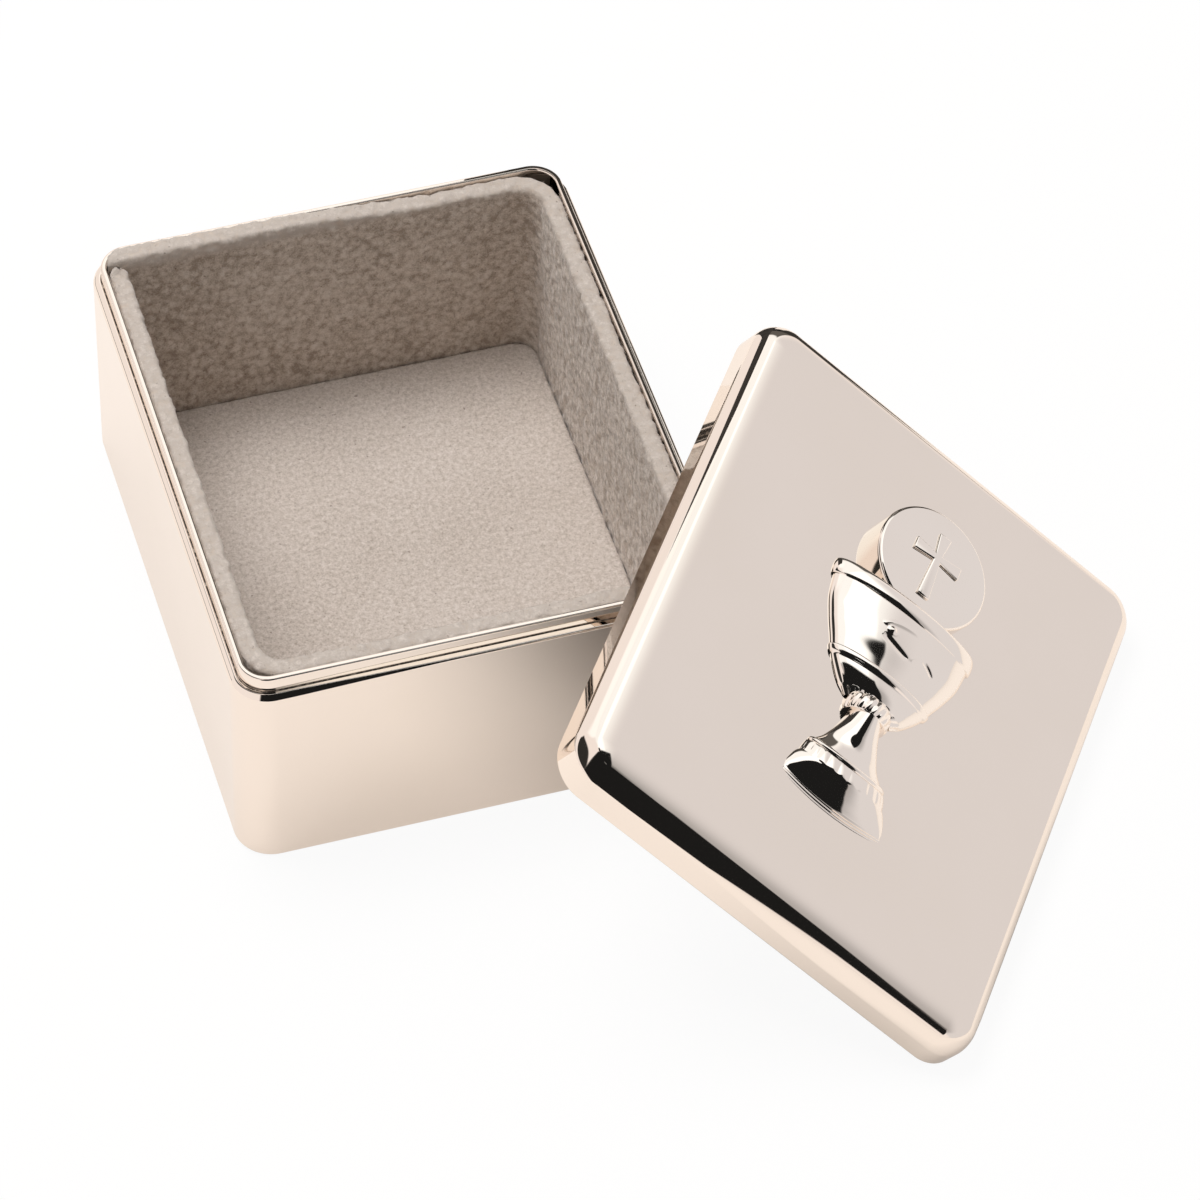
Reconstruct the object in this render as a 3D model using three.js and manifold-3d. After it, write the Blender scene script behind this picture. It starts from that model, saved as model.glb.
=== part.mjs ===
// Communion keepsake box: a silver-plated box with a raised neck and a flocked lining,
// and its loose lid, which carries a cast chalice and host and leans on the box's corner.
// Millimetres, +Z up. Origin at the middle of the box's underside, +X to the right along
// the front, +Y to the back.
import * as THREE from "three";
import { mergeVertices } from "three/addons/utils/BufferGeometryUtils.js";
import Module from "manifold-3d";

const wasm = await Module();
wasm.setup();

// Driving dimensions of the whole box
const boxWidth = 52;
const boxDepth = 63.6;
const cornerRadius = 4;
const shoulderHeight = 25.2;
const neckRise = 1.75;
const lidHeight = 5;

// Clearances: between pieces that are pressed or laid together, between pieces of the
// leaning lid, and how far a cut runs past the piece that it cuts
const fitClearance = 0.05;
const layGap = 0.3;
const cutOverrun = 1;

// Box shell and its bottom plate
const shellWall = 0.8;
const shoulderFillet = 0.4;
const footFillet = 0.6;
const bottomThickness = 0.8;

// Neck: the inner band that stands above the shoulder and that the lid closes over
const neckThickness = 0.65;
const neckDrop = 8;
const neckLipRadius = 0.3;

// Lining of the box: flocked cloth on card, as one wall strip and one floor pad
const cardThickness = 0.8;
const wallClothThickness = 1.2;
const floorClothThickness = 1.3;
const wallLiningDrop = 0.35;
const liningOuterCorner = 4.6;
const liningInnerCorner = 2.5;
const liningEdgeRadius = 0.5;
const stripJointGap = 0.3;

// Lid shell and its lining
const lidWall = 0.6;
const lidTop = 0.7;
const lidFillet = 2.3;
const lidLiningCorner = 3;

// How the lid leans: its long lower edge lies on the table, and its lining rests on the
// box's front right corner
const leanHeading = THREE.MathUtils.degToRad(-35.76);
const leanOverhang = 7.8;
const leanOffset = 1.3;

// Chalice: how far along the lid its rim stands from the lid's middle, the length of each
// stretch below that, and each stretch's half width and height over the lid's top
const rimTopY = 6.9;
const rimLength = 1.7;
const rimHalfWidth = 9;
const rimHeight = 4.5;
const bowlLength = 10.2;
const bowlHalfWidth = 8.6;
const bowlHeight = 4.3;
const bowlFootHalfWidth = 2.5;
const bowlFootHeight = 2.9;
const bandDrop = 6.6;
const bandLength = 1.1;
const bandStandOut = 0.35;
const knopLength = 2;
const knopHalfWidth = 2.8;
const knopHeight = 3.5;
const stemLength = 6.3;
const stemHalfWidth = 1.9;
const stemHeight = 2.7;
const stemFlareHalfWidth = 4.4;
const stemFlareHeight = 2.9;
const footBandLength = 2.4;
const footBandHalfWidth = 5.5;
const footBandHeight = 3.3;
const footBevelLength = 1.8;
const footBevelHeight = 1.4;
const footHalfWidth = 6.4;
const footEdgeHeight = 0.7;
const footBow = 1;

// Host: the round wafer that stands above the cup, with a plain raised cross
const hostRadius = 6.95;
const hostSink = 0.15;
const hostThickness = 3.5;
const hostEdgeRadius = 0.35;
const crossHeight = 8.4;
const crossWidth = 6;
const crossBarHalfWidth = 0.45;
const crossEndHalfWidth = 0.8;
const crossBeamRise = 1.2;
const crossRelief = 0.4;

// Smoothness
const cornerSteps = 8;
const filletSteps = 4;
const sectionSteps = 14;
const stretchSteps = 5;
const roundSteps = 40;

// Colours and finishes
const platedMetal = { color: 0xe6dcd3, roughness: 0.06, metalness: 1 };
const plainMetal = { color: 0xd9cfc6, roughness: 0.3, metalness: 1 };
const flockedCloth = { color: 0xc4b9af, roughness: 1, metalness: 0 };
const greyCard = { color: 0x9c948a, roughness: 0.95, metalness: 0 };

// Sizes worked out from the ones above
const neckInset = shellWall + fitClearance;
const cardInset = neckInset + neckThickness + fitClearance;
const wallClothInset = cardInset + cardThickness + fitClearance;
const innerInset = wallClothInset + wallClothThickness;
const neckTop = shoulderHeight + neckRise;
const wallLiningTop = neckTop - wallLiningDrop;
const floorCardBottom = bottomThickness + fitClearance;
const floorClothBottom = floorCardBottom + cardThickness + fitClearance;
const lidCeiling = lidHeight - lidTop;
const lidLiningFace = neckRise + fitClearance;
const lidCardTop = lidCeiling - layGap;
const lidCardBottom = lidCardTop - cardThickness;
const lidClothTop = lidCardBottom - layGap;
const emblemBase = lidHeight + layGap;

// Geometry helpers

// The points of a rounded rectangle, inset from the box's outline, at a height
function outlineRing(inset, height, radius) {
  const halfX = boxWidth / 2 - inset;
  const halfY = boxDepth / 2 - inset;
  const points = [];
  for (let corner = 0; corner < 4; corner += 1) {
    const sideX = corner === 0 || corner === 3 ? 1 : -1;
    const sideY = corner < 2 ? 1 : -1;
    for (let step = 0; step <= cornerSteps; step += 1) {
      const angle = (corner + step / cornerSteps) * (Math.PI / 2);
      const x = sideX * (halfX - radius) + radius * Math.cos(angle);
      const y = sideY * (halfY - radius) + radius * Math.sin(angle);
      points.push(new THREE.Vector3(x, y, height));
    }
  }
  return points;
}

// A closed solid through rings of equal point counts, with a flat face at each end
function loft(rings) {
  const count = rings[0].length;
  const vertices = rings.flat();
  const indices = [];
  for (let level = 0; level + 1 < rings.length; level += 1) {
    for (let i = 0; i < count; i += 1) {
      const a = level * count + i;
      const b = level * count + ((i + 1) % count);
      indices.push(a, b, b + count, a, b + count, a + count);
    }
  }
  const ends = [[0, false], [rings.length - 1, true]];
  for (const [level, facesUp] of ends) {
    const centre = new THREE.Vector3();
    rings[level].forEach((point) => centre.addScaledVector(point, 1 / count));
    vertices.push(centre);
    for (let i = 0; i < count; i += 1) {
      const a = level * count + i;
      const b = level * count + ((i + 1) % count);
      indices.push(vertices.length - 1, facesUp ? a : b, facesUp ? b : a);
    }
  }
  const coordinates = vertices.flatMap((vertex) => vertex.toArray());
  const geometry = new THREE.BufferGeometry();
  geometry.setAttribute("position", new THREE.Float32BufferAttribute(coordinates, 3));
  geometry.setIndex(indices);
  return geometry;
}

// A rounded rectangular block between two heights
function block(inset, radius, bottom, top) {
  return loft([outlineRing(inset, bottom, radius), outlineRing(inset, top, radius)]);
}

// Rings of a quarter-round edge that ends an upright wall at the top of a block
function roundedTop(inset, radius, top, fillet) {
  const rings = [];
  for (let step = 0; step <= filletSteps; step += 1) {
    const angle = (step / filletSteps) * (Math.PI / 2);
    const inward = fillet * (1 - Math.cos(angle));
    const height = top - fillet + fillet * Math.sin(angle);
    rings.push(outlineRing(inset + inward, height, Math.max(radius - inward, fillet / filletSteps)));
  }
  return rings;
}

// The same quarter round at the foot of a block
function roundedFoot(inset, radius, bottom, fillet) {
  const rings = [];
  for (let step = filletSteps; step >= 0; step -= 1) {
    const angle = (step / filletSteps) * (Math.PI / 2);
    const inward = fillet * (1 - Math.cos(angle));
    const height = bottom + fillet - fillet * Math.sin(angle);
    rings.push(outlineRing(inset + inward, height, Math.max(radius - inward, fillet / filletSteps)));
  }
  return rings;
}

function toSolid(geometry) {
  const bare = geometry.clone();
  bare.deleteAttribute("normal");
  bare.deleteAttribute("uv");
  const merged = mergeVertices(bare);
  const vertProperties = new Float32Array(merged.attributes.position.array);
  const triVerts = new Uint32Array(merged.index.array);
  return new wasm.Manifold(new wasm.Mesh({ numProp: 3, vertProperties, triVerts }));
}

function toGeometry(solid) {
  const mesh = solid.getMesh();
  const geometry = new THREE.BufferGeometry();
  geometry.setAttribute("position", new THREE.Float32BufferAttribute(mesh.vertProperties, 3));
  geometry.setIndex(new THREE.Uint32BufferAttribute(mesh.triVerts, 1));
  geometry.computeVertexNormals();
  return geometry;
}

function subtract(body, ...tools) {
  return toGeometry(tools.reduce((solid, tool) => solid.subtract(toSolid(tool)), toSolid(body)));
}

function unite(...bodies) {
  return toGeometry(bodies.map(toSolid).reduce((solid, next) => solid.add(next)));
}

function mesh(name, geometry, finish) {
  const piece = new THREE.Mesh(geometry, new THREE.MeshStandardMaterial(finish));
  piece.name = name;
  return piece;
}

// Box

function baseShell() {
  const foot = roundedFoot(0, cornerRadius, 0, footFillet);
  const shoulder = roundedTop(0, cornerRadius, shoulderHeight, shoulderFillet);
  const bore = block(shellWall, cornerRadius - shellWall, -cutOverrun, shoulderHeight + cutOverrun);
  return subtract(loft([...foot, ...shoulder]), bore);
}

function baseBottom() {
  return block(neckInset, cornerRadius - neckInset, 0, bottomThickness);
}

// The lip is round: its outer edge by the loft, its inner edge by the flare of the bore
function neckCollar() {
  const outerRadius = cornerRadius - neckInset;
  const boreInset = neckInset + neckThickness;
  const innerRadius = outerRadius - neckThickness;
  const bottom = shoulderHeight - neckDrop;
  const outer = loft([
    outlineRing(neckInset, bottom, outerRadius),
    ...roundedTop(neckInset, outerRadius, neckTop, neckLipRadius),
  ]);
  const boreRings = [outlineRing(boreInset, bottom - cutOverrun, innerRadius)];
  for (let step = 0; step <= filletSteps; step += 1) {
    const angle = (step / filletSteps) * (Math.PI / 2);
    const outward = neckLipRadius * (1 - Math.cos(angle));
    const height = neckTop - neckLipRadius + neckLipRadius * Math.sin(angle);
    boreRings.push(outlineRing(boreInset - outward, height, innerRadius + outward));
  }
  boreRings.push(outlineRing(boreInset - neckLipRadius, neckTop + cutOverrun, innerRadius + neckLipRadius));
  return subtract(outer, loft(boreRings));
}

// The slit where the strip's two ends meet, in the back left corner
function stripJoint() {
  const slitLength = innerInset + liningInnerCorner;
  const slit = new THREE.BoxGeometry(slitLength, stripJointGap, neckTop + cutOverrun * 2);
  const y = boxDepth / 2 - innerInset - liningInnerCorner;
  slit.translate(-boxWidth / 2 + slitLength / 2, y, neckTop / 2);
  return slit;
}

function wallCard() {
  const top = wallLiningTop - wallClothThickness - fitClearance;
  const outer = block(cardInset, liningOuterCorner, floorCardBottom, top);
  const innerCorner = liningOuterCorner - cardThickness;
  const bore = block(cardInset + cardThickness, innerCorner, 0, top + cutOverrun);
  return subtract(outer, bore, stripJoint());
}

// The cloth covers the card's face and folds over its top edge
function wallLining() {
  const outerRings = [
    outlineRing(cardInset, floorCardBottom, liningOuterCorner),
    ...roundedTop(cardInset, liningOuterCorner, wallLiningTop, liningEdgeRadius),
  ];
  const flare = [];
  for (let step = 0; step <= filletSteps; step += 1) {
    const angle = (step / filletSteps) * (Math.PI / 2);
    const outward = liningEdgeRadius * (1 - Math.cos(angle));
    const height = wallLiningTop - liningEdgeRadius + liningEdgeRadius * Math.sin(angle);
    flare.push(outlineRing(innerInset - outward, height, liningInnerCorner + outward));
  }
  const bore = loft([
    outlineRing(innerInset, 0, liningInnerCorner),
    ...flare,
    outlineRing(innerInset - liningEdgeRadius, neckTop + cutOverrun, liningInnerCorner + liningEdgeRadius),
  ]);
  const cardSlotTop = wallLiningTop - wallClothThickness;
  const slotOuter = block(0, cornerRadius, 0, cardSlotTop);
  const slotCorner = liningOuterCorner - cardThickness - fitClearance;
  const slotInner = block(wallClothInset, slotCorner, -cutOverrun, cardSlotTop + cutOverrun);
  return subtract(loft(outerRings), bore, subtract(slotOuter, slotInner), stripJoint());
}

function floorCard() {
  const inset = innerInset + fitClearance;
  return block(inset, liningInnerCorner, floorCardBottom, floorCardBottom + cardThickness);
}

function floorLining() {
  const inset = innerInset + fitClearance;
  const top = floorClothBottom + floorClothThickness;
  return loft([
    outlineRing(inset, floorClothBottom, liningInnerCorner),
    ...roundedTop(inset, liningInnerCorner, top, liningEdgeRadius),
  ]);
}

// Lid, in its own frame: the rim in the plane z = 0, the top plate above it

function lidShell() {
  const outer = loft([outlineRing(0, 0, cornerRadius), ...roundedTop(0, cornerRadius, lidHeight, lidFillet)]);
  const hollowCorner = cornerRadius - lidWall;
  const hollowFillet = Math.min(lidFillet - lidWall, lidCeiling);
  const hollow = loft([
    outlineRing(lidWall, -cutOverrun, hollowCorner),
    ...roundedTop(lidWall, hollowCorner, lidCeiling, hollowFillet),
  ]);
  return subtract(outer, hollow);
}

function lidCard() {
  return block(lidFillet, lidLiningCorner, lidCardBottom, lidCardTop);
}

function lidLining() {
  return block(lidWall + layGap, lidLiningCorner, lidLiningFace, lidClothTop);
}

// Emblem: a chalice and a host, cast in relief, standing on the lid's top plate

// Shares that shape the casting: how boxy its cross section is, and how the bowl narrows
// from its top to its foot, how the stem flares, and how steeply the band's edges rise
const sectionShare = 0.6;
const bowlCurveShare = 0.62;
const stemCurveShare = 2.2;
const bandEdgeShare = 0.2;

// One cross section of the relief: an upright wall that rounds over to a crowned face.
// bow pushes the middle of the section down the lid.
function section(y, halfWidth, height, bow = 0) {
  const points = [];
  for (let step = 0; step <= sectionSteps; step += 1) {
    const angle = Math.PI * (1 - step / sectionSteps);
    const across = Math.sign(Math.cos(angle)) * Math.abs(Math.cos(angle)) ** sectionShare;
    const up = Math.sin(angle) ** sectionShare;
    points.push(new THREE.Vector3(halfWidth * across, y - bow * (1 - across * across), height * up));
  }
  return points;
}

// A section part of the way from one station to another, eased by a power, and proud of
// that line by the stand-out
function between(from, to, along, curve, standOut = 0) {
  const eased = along ** curve;
  return section(
    THREE.MathUtils.lerp(from.y, to.y, along),
    THREE.MathUtils.lerp(from.halfWidth, to.halfWidth, eased) + standOut,
    THREE.MathUtils.lerp(from.height, to.height, eased) + standOut,
  );
}

function stretch(from, to, curve, start = 0, end = 1) {
  const sections = [];
  for (let step = 0; step <= stretchSteps; step += 1) {
    sections.push(between(from, to, THREE.MathUtils.lerp(start, end, step / stretchSteps), curve));
  }
  return sections;
}

// The bowl narrows to its foot, with a raised band round its lower part
function bowl(top, foot) {
  const length = top.y - foot.y;
  const bandStart = bandDrop / length;
  const bandEnd = (bandDrop + bandLength) / length;
  const curve = 1 / bowlCurveShare;
  return [
    ...stretch(top, foot, curve, 0, bandStart),
    between(top, foot, THREE.MathUtils.lerp(bandStart, bandEnd, bandEdgeShare), curve, bandStandOut),
    between(top, foot, THREE.MathUtils.lerp(bandEnd, bandStart, bandEdgeShare), curve, bandStandOut),
    ...stretch(top, foot, curve, bandEnd, 1),
  ];
}

function chalice() {
  const bowlTopY = rimTopY - rimLength;
  const bowlFootY = bowlTopY - bowlLength;
  const knopFootY = bowlFootY - knopLength;
  const stemFootY = knopFootY - stemLength;
  const footBandFootY = stemFootY - footBandLength;
  const footY = footBandFootY - footBevelLength;
  const rimRadius = rimLength / 2;
  const knopRadius = knopLength / 2;
  const rings = [
    section(rimTopY, rimHalfWidth - rimRadius / 2, rimHeight - rimRadius / 2),
    section(rimTopY - rimRadius / 2, rimHalfWidth, rimHeight),
    section(bowlTopY + rimRadius / 2, rimHalfWidth, rimHeight),
    ...bowl(
      { y: bowlTopY, halfWidth: bowlHalfWidth, height: bowlHeight },
      { y: bowlFootY, halfWidth: bowlFootHalfWidth, height: bowlFootHeight },
    ),
    section(bowlFootY - knopRadius / 2, knopHalfWidth, knopHeight),
    section(knopFootY + knopRadius / 2, knopHalfWidth, knopHeight),
    ...stretch(
      { y: knopFootY, halfWidth: stemHalfWidth, height: stemHeight },
      { y: stemFootY, halfWidth: stemFlareHalfWidth, height: stemFlareHeight },
      stemCurveShare,
    ),
    section(stemFootY - footBow / 2, footBandHalfWidth, footBandHeight, footBow / 2),
    section(footBandFootY + footBow, footBandHalfWidth, footBandHeight, footBow),
    section(footY + footBow, footHalfWidth, footBevelHeight, footBow),
    section(footY + footBow / 2, footHalfWidth, footEdgeHeight, footBow / 2),
  ];
  return loft(rings.reverse());
}

// The host's middle, from the lid's middle: its lowest point is just behind the rim
function hostCentreY() {
  return rimTopY - hostSink + hostRadius;
}

function cross() {
  const shape = new THREE.Shape();
  const top = crossHeight / 2;
  const side = crossWidth / 2;
  const bar = crossBarHalfWidth;
  const end = crossEndHalfWidth;
  const beam = crossBeamRise;
  const rightSide = [
    [end, top],
    [bar, beam + bar],
    [side, beam + end],
    [side, beam - end],
    [bar, beam - bar],
    [end, -top],
  ];
  const leftSide = rightSide.map(([x, y]) => [-x, y]).reverse();
  shape.setFromPoints([...rightSide, ...leftSide].map(([x, y]) => new THREE.Vector2(x, y)));
  const depth = hostEdgeRadius + crossRelief;
  const geometry = new THREE.ExtrudeGeometry(shape, { depth, bevelEnabled: false });
  return geometry.translate(0, 0, hostThickness - hostEdgeRadius);
}

// The wafer stands behind the rim: below the rim's far side it is cut off straight
function host() {
  const profile = [new THREE.Vector2(0, 0), new THREE.Vector2(hostRadius, 0)];
  for (let step = 0; step <= filletSteps; step += 1) {
    const angle = (step / filletSteps) * (Math.PI / 2);
    const inward = hostEdgeRadius * (1 - Math.cos(angle));
    const height = hostThickness - hostEdgeRadius + hostEdgeRadius * Math.sin(angle);
    profile.push(new THREE.Vector2(hostRadius - inward, height));
  }
  profile.push(new THREE.Vector2(0, hostThickness));
  const disc = new THREE.LatheGeometry(profile, roundSteps).rotateX(Math.PI / 2);
  const marked = unite(disc, cross());
  const cutTop = rimTopY + layGap - hostCentreY();
  const cutDepth = hostRadius + cutOverrun;
  const cut = new THREE.BoxGeometry(hostRadius * 2 + cutOverrun, cutDepth, hostThickness * 2 + cutOverrun);
  cut.translate(0, cutTop - cutDepth / 2, 0);
  return subtract(marked, cut);
}

// Assembly

const box = new THREE.Group();
box.add(
  mesh("base_shell", baseShell(), platedMetal),
  mesh("base_bottom", baseBottom(), plainMetal),
  mesh("neck_collar", neckCollar(), platedMetal),
  mesh("wall_card", wallCard(), greyCard),
  mesh("wall_lining", wallLining(), flockedCloth),
  mesh("floor_card", floorCard(), greyCard),
  mesh("floor_lining", floorLining(), flockedCloth),
);

const emblem = new THREE.Group();
const hostMesh = mesh("host", host(), platedMetal);
hostMesh.position.y = hostCentreY();
emblem.add(mesh("chalice", chalice(), platedMetal), hostMesh);
emblem.position.z = emblemBase;

// The lid leans: its lining rests on the neck's front right corner, and its lower edge is
// level on the table. The tilt follows from the corner's height and from how much of the
// lid reaches past the corner.
const neckCorner = cornerRadius - neckInset;
const restPoint = new THREE.Vector3(
  boxWidth / 2 - neckInset - neckCorner + neckCorner * Math.cos(leanHeading),
  -(boxDepth / 2 - neckInset - neckCorner) + neckCorner * Math.sin(leanHeading),
  neckTop,
);
const underRest = lidLiningFace - layGap;
const restToEdge = boxWidth - leanOverhang;
const leanTilt = Math.asin(neckTop / Math.hypot(underRest, restToEdge)) - Math.atan2(underRest, restToEdge);

const lid = new THREE.Group();
lid.rotation.set(0, leanTilt, leanHeading, "ZYX");
const restInLid = new THREE.Vector3(leanOverhang - boxWidth / 2, leanOffset, underRest);
lid.position.copy(restPoint).sub(restInLid.applyEuler(lid.rotation));
lid.add(
  mesh("lid_shell", lidShell(), platedMetal),
  mesh("lid_card", lidCard(), greyCard),
  mesh("lid_lining", lidLining(), flockedCloth),
  emblem,
);

const keepsakeBox = new THREE.Group();
keepsakeBox.add(box, lid);

export default keepsakeBox;
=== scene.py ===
"""Looks for the communion keepsake box: plated metal, a flocked lining and a cast emblem."""

import math

import bpy
import numpy as np
from mathutils import Matrix, Vector, noise


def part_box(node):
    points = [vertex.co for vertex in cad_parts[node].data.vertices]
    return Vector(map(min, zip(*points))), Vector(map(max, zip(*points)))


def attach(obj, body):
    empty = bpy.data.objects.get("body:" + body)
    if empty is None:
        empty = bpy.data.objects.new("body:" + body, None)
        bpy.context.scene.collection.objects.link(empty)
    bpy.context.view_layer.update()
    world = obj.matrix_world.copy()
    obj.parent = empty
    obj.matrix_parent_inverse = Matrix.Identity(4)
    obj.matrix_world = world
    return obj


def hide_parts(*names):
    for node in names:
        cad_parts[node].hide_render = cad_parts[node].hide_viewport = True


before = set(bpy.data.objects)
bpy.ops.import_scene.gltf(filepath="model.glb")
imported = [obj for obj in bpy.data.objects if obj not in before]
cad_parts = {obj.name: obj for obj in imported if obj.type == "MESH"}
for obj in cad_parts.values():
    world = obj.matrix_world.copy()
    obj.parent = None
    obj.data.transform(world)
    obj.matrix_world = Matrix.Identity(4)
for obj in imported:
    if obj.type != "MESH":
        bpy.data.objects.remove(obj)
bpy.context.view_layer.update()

# Lengths below are in millimetres, and MM turns them into metres
MM = 0.001

# Sizes of the box, read from the frame
shell_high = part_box("base_shell")[1] / MM
neck_low, neck_high = (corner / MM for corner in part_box("neck_collar"))
wall_low, wall_high = (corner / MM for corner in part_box("wall_lining"))
pad_low, pad_high = (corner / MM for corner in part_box("floor_lining"))
HALF_X, HALF_Y, SHOULDER_Z = shell_high
NECK_BOTTOM, NECK_TOP = neck_low.z, neck_high.z
NECK_INSET = HALF_X - neck_high.x
WALL_BOTTOM, WALL_TOP = wall_low.z, wall_high.z
WALL_INSET = HALF_X - wall_high.x
PAD_BOTTOM, PAD_TOP = pad_low.z, pad_high.z
PAD_INSET = HALF_X - pad_high.x

# Box metal. A table's rows are a place from left to right and the value there
CORNER_RADIUS = 4.0
SHELL_WALL = 0.8
SHELL_SPACING = 1.2
FOOT_FILLET = 0.6
SHOULDER_FILLET = 0.4
LEFT_FILLET = 0.68
LEFT_END = (-20, 0)
FRONT_CHAMFER = [(-24, 0.95), (-20, 0.95), (-12, 0.5), (-5, 0.17), (3, 0.06), (26, 0.04)]
FRONT_ROUND = [(-12, 0.12), (3, 0.25)]
FRONT_START = HALF_Y - 4.5
FRONT_FULL = HALF_Y - 0.5
CHAMFER_TILT = 50
CHAMFER_LENGTH = 0.653
NECK_THICKNESS = 0.65
LIP_RADIUS = 0.22

# Seam between the shell and the neck
SEAM_ROUND = 0.1
SEAM_GAP = 0.05
SEAM_REACH = 0.1
SEAM_CLEAR = 0.02
SEAM_DEPTH = 0.35
SEAM_LIP = 0.03

# Lining of the box
CARD_THICKNESS = 0.8
CLOTH_THICKNESS = 1.2
LINING_THICKNESS = CARD_THICKNESS + SEAM_GAP + CLOTH_THICKNESS
LINING_CORNER = 4.6
LINING_RADIUS = LINING_CORNER + WALL_INSET
LINING_EDGE = 0.5
STRIP_GAP = 0.3
STRIP_END_ROUND = 0.55
STRIP_END_STEPS = 8
BACK_RISE = 1.0
BACK_RISE_LEFTWARDS = (-12, 6)
BACK_RISE_BACKWARDS = (27.2, 28.4)
BACK_RISE_UPWARDS = (WALL_TOP - 8, WALL_TOP - 1)
PAD_CORNER = 2.5
PAD_SPACING = 0.36
PAD_REACH = 0.995

# Nap
NAP_SPACING = 0.3
NAP_HEIGHT = 0.15
NAP_LUMP = 1.1
LUMP_SEED = 3.1
TUFT_SEED = 9.7
TUFT_SHARE = 0.45
PEBBLE = 0.85
PEBBLE_LEVEL = 0.45
WALL_PEBBLES = 1.6
PAD_NAP = 0.45
# The wall's top band, painted paler and even as painted light: the heights where it begins and is
# full
LIT_TOP_FROM = WALL_TOP - 1.2
LIT_TOP_TO = WALL_TOP + 0.2
FIBRE_SEEDS = (41, 43)
FIBRE_WIDTH = 0.035
FIBRE_LENGTH = (0.12, 0.42)
FIBRE_LEAN = 0.75
FIBRE_ROOT = 0.04
FIBRE_ROW = 0.15
TOP_FIBRES = 300
TOP_LEVEL_HALF = 0.5
TOP_OUTWARD = 1.6
FACE_FIBRES = 9000

# Lid, in its own frame: rim in the plane z = 0
LID_HEIGHT = 5.0
LID_WALL = 0.6
LID_CEILING = 4.3
LID_ROUND = 2.1
LID_LOW_ROUND = [(-18, 0.4), (-8, 1.1), (8, 1.45), (18, 1.15)]
LID_EDGE_WIDTH = 1.77
LID_LOW_WIDTH = [(8, 1.77), (18, 1.6)]
LID_LOW_CUT = [(-8, 1.0), (8, 0.0)]
LID_LOW_FROM = HALF_Y - 6
LID_LOW_TO = HALF_Y - 1
LID_EDGE_STEPS = 20
LID_EDGE_FINE = 12
SLANT = (36, 48)
STEEP = (55, 80)
LID_BLEND = 3.2
LID_BLEND_SLOPE = math.radians(9)
LID_HOLLOW_FILLET = 1.7
LID_EDGE_ROUND = 0.2
LID_CLOTH_LOW = 1.8
LID_CLOTH_HIGH = 2.9
LID_CLOTH_INSET = 0.9
LID_CLOTH_CORNER = 3.0

# How the lid leans on the neck's front right corner
LEAN_HEADING = math.radians(-35.76)
LEAN_OVERHANG = 7.8
LEAN_OFFSET = 1.3
UNDER_REST = 1.5

# Emblem, heights over the lid's plate
EMBLEM_X = 0.7
EMBLEM_LEAN = 0.0167
EMBLEM_MIDDLE = 5.0
EMBLEM_SINK = 0.05
EMBLEM_SHARP = math.radians(50)
HOST_RADIUS = 6.9
HOST_X = 0.75
HOST_Y = 14.95
HOST_TOP = 2.14
HOST_EDGE = 0.4
HOST_GROOVE = 0.35
HOST_GROOVE_DEPTH = 0.02
HOST_GROOVE_END = 2.2
HOST_STEPS = 160
CROSS_HEIGHT = 8.4
CROSS_WIDTH = 6.0
CROSS_BAR = 0.45
CROSS_END = 0.8
CROSS_BEAM_RISE = 1.2
CROSS_RELIEF = 0.28
CROSS_SINK = 0.1
CROSS_ROUND = 0.16

# Camera, found from the outlines in the photograph
CAMERA_AIM = (19.3, -7.7, 0.0)
CAMERA_DISTANCE = 622.8
CAMERA_AZIMUTH = 18.7
CAMERA_ELEVATION = 49.18
CAMERA_ROLL = math.radians(2.24)
CAMERA_LENS = 176.3


# Outlines and sweeps

SHARP_BEND = math.radians(35)
FLAT_RATIO = 4


def outline(corner_steps, spacing=None, radius=CORNER_RADIUS):
    """Places round the box's outline, as (corner, angle, share of the way to the next corner)."""
    marks = []
    for corner in range(4):
        for step in range(corner_steps + 1):
            angle = (corner + step / corner_steps) * math.pi / 2
            marks.append((corner, angle, 0.0))
        if spacing:
            straight = 2 * ((HALF_Y if corner % 2 else HALF_X) - radius)
            count = max(2, round(straight / spacing))
            marks += [(corner, angle, k / count) for k in range(1, count)]
    return marks


def corner_point(corner, angle, half, radius):
    """The point at an angle on one of a rounded rectangle's corners."""
    sides = (1 if corner in (0, 3) else -1, 1 if corner < 2 else -1)
    facing = (math.cos(angle), math.sin(angle))
    return np.array([s * (h - radius) + radius * f for s, h, f in zip(sides, half, facing)])


def ring(marks, out, radius=CORNER_RADIUS, least=0.3):
    """The outline's points moved outwards by out, with their normals."""
    half = (HALF_X + out, HALF_Y + out)
    radius = max(radius + out, least)
    points, normals = [], []
    for corner, angle, along in marks:
        here = corner_point(corner, angle, half, radius)
        if along:
            there = corner_point((corner + 1) % 4, angle, half, radius)
            here = here + (there - here) * along
        points.append(here)
        normals.append((math.cos(angle), math.sin(angle)))
    return np.array(points), np.array(normals)


def arc(centre, radius, start, end, steps):
    """Points of a profile's round stretch, with angles in degrees."""
    angles = np.radians(np.linspace(start, end, steps + 1))
    return [(centre[0] + radius * math.cos(a), centre[1] + radius * math.sin(a)) for a in angles]


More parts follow.
